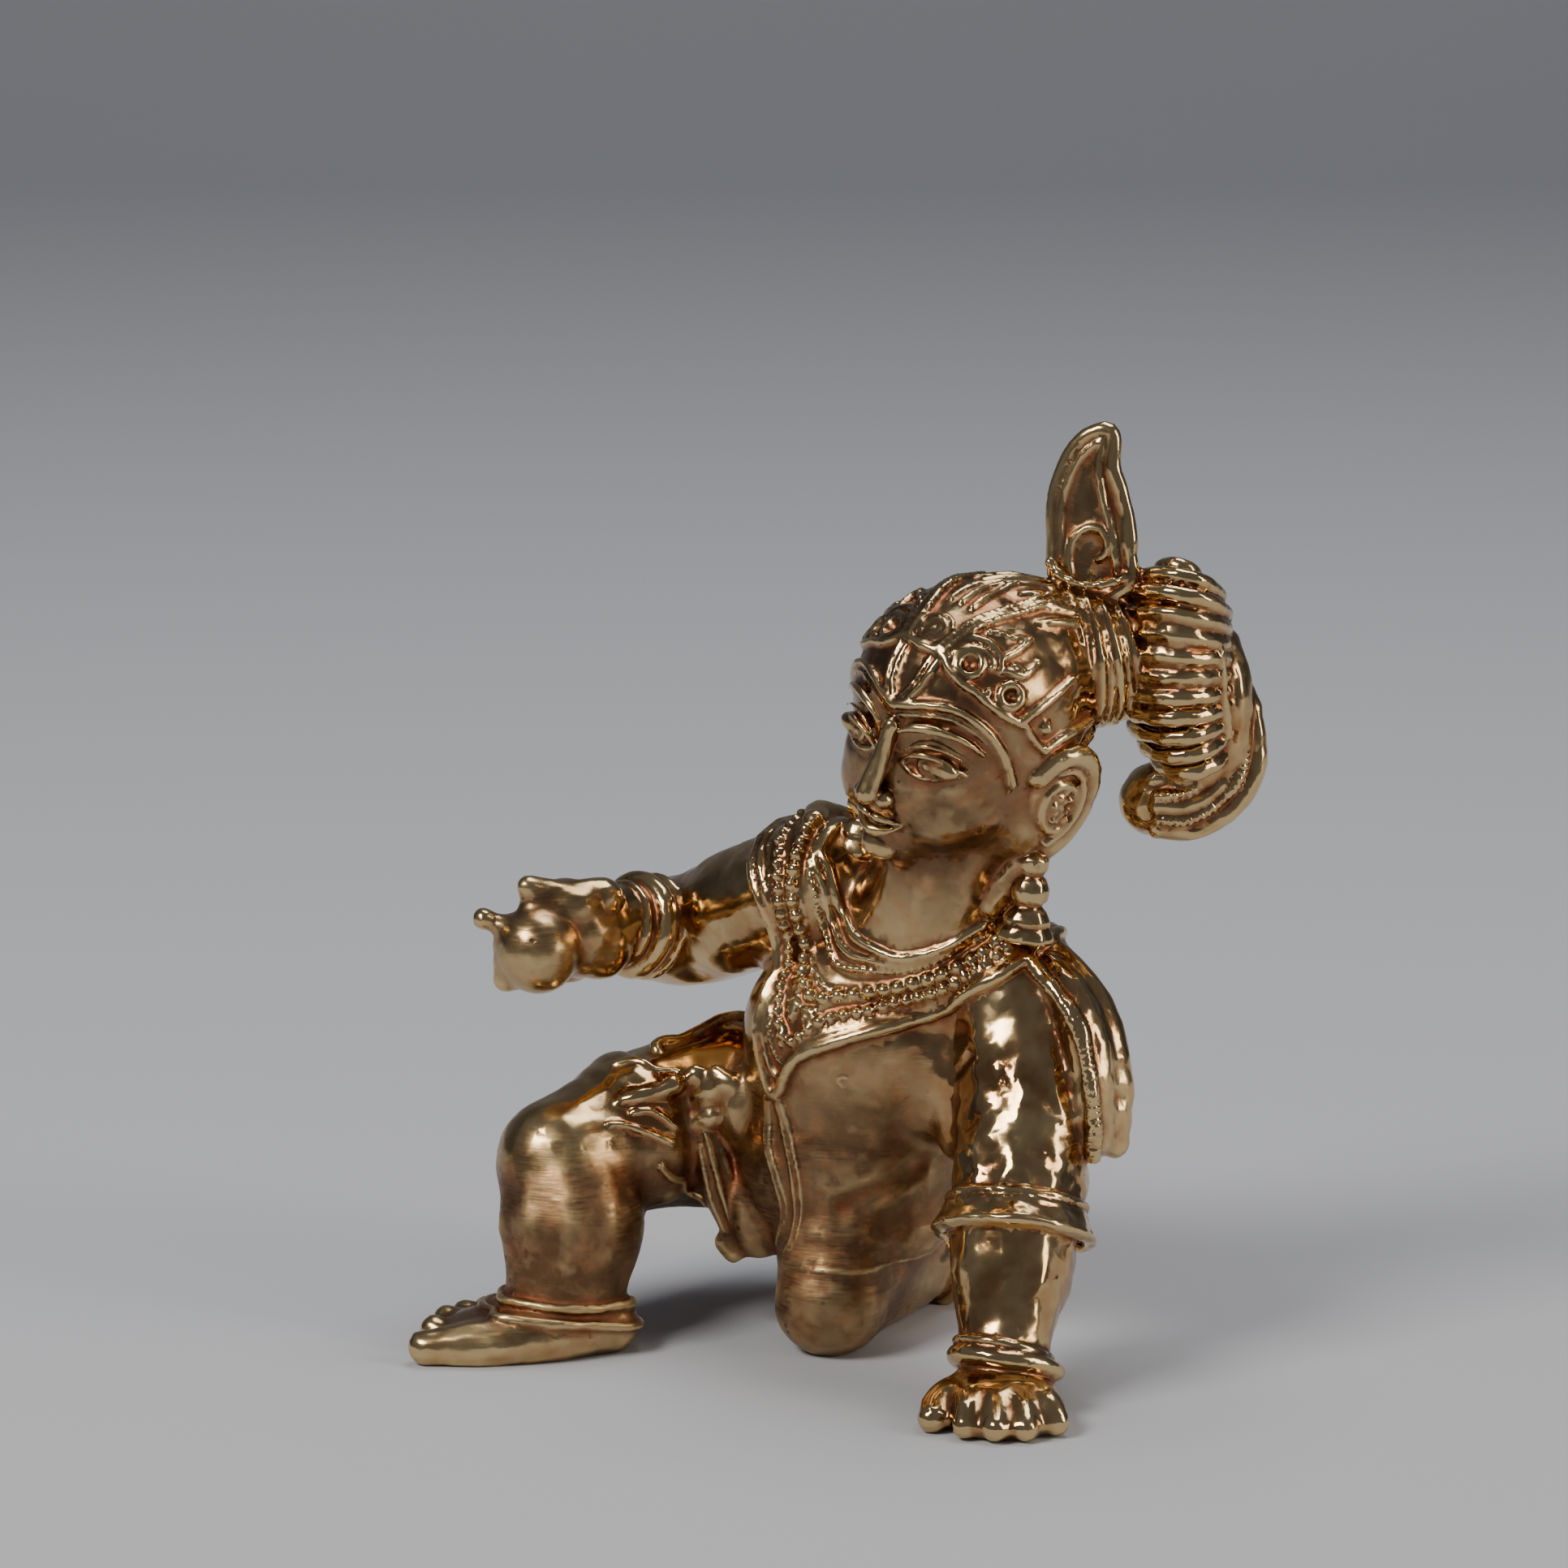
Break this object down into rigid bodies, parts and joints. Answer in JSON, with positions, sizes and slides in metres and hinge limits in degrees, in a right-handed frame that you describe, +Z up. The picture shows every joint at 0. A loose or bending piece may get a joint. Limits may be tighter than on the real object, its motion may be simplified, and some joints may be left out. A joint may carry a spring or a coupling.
{
  "type": "laddu gopal idol",
  "caption": "Small solid-cast metal figure of the infant Krishna crawling, a butter ball in the raised right hand, hair in a side topknot with a feather.",
  "frame": {"origin": "on the ground, under the middle of the figure's bounding box", "axes": "+Z up; the chest leans and the left hand reaches towards -Y; the right knee and right hand are towards -X; the topknot is towards +X"},
  "size_m": [0.0634, 0.0465, 0.07],
  "materials": {
    "cast_brass": "polished cast brass, coppery in the hollows, with casting pits and file marks"
  },
  "bodies": {
    "root": {"laddu_gopal_figure": "cast_brass"}
  },
  "joints": []
}
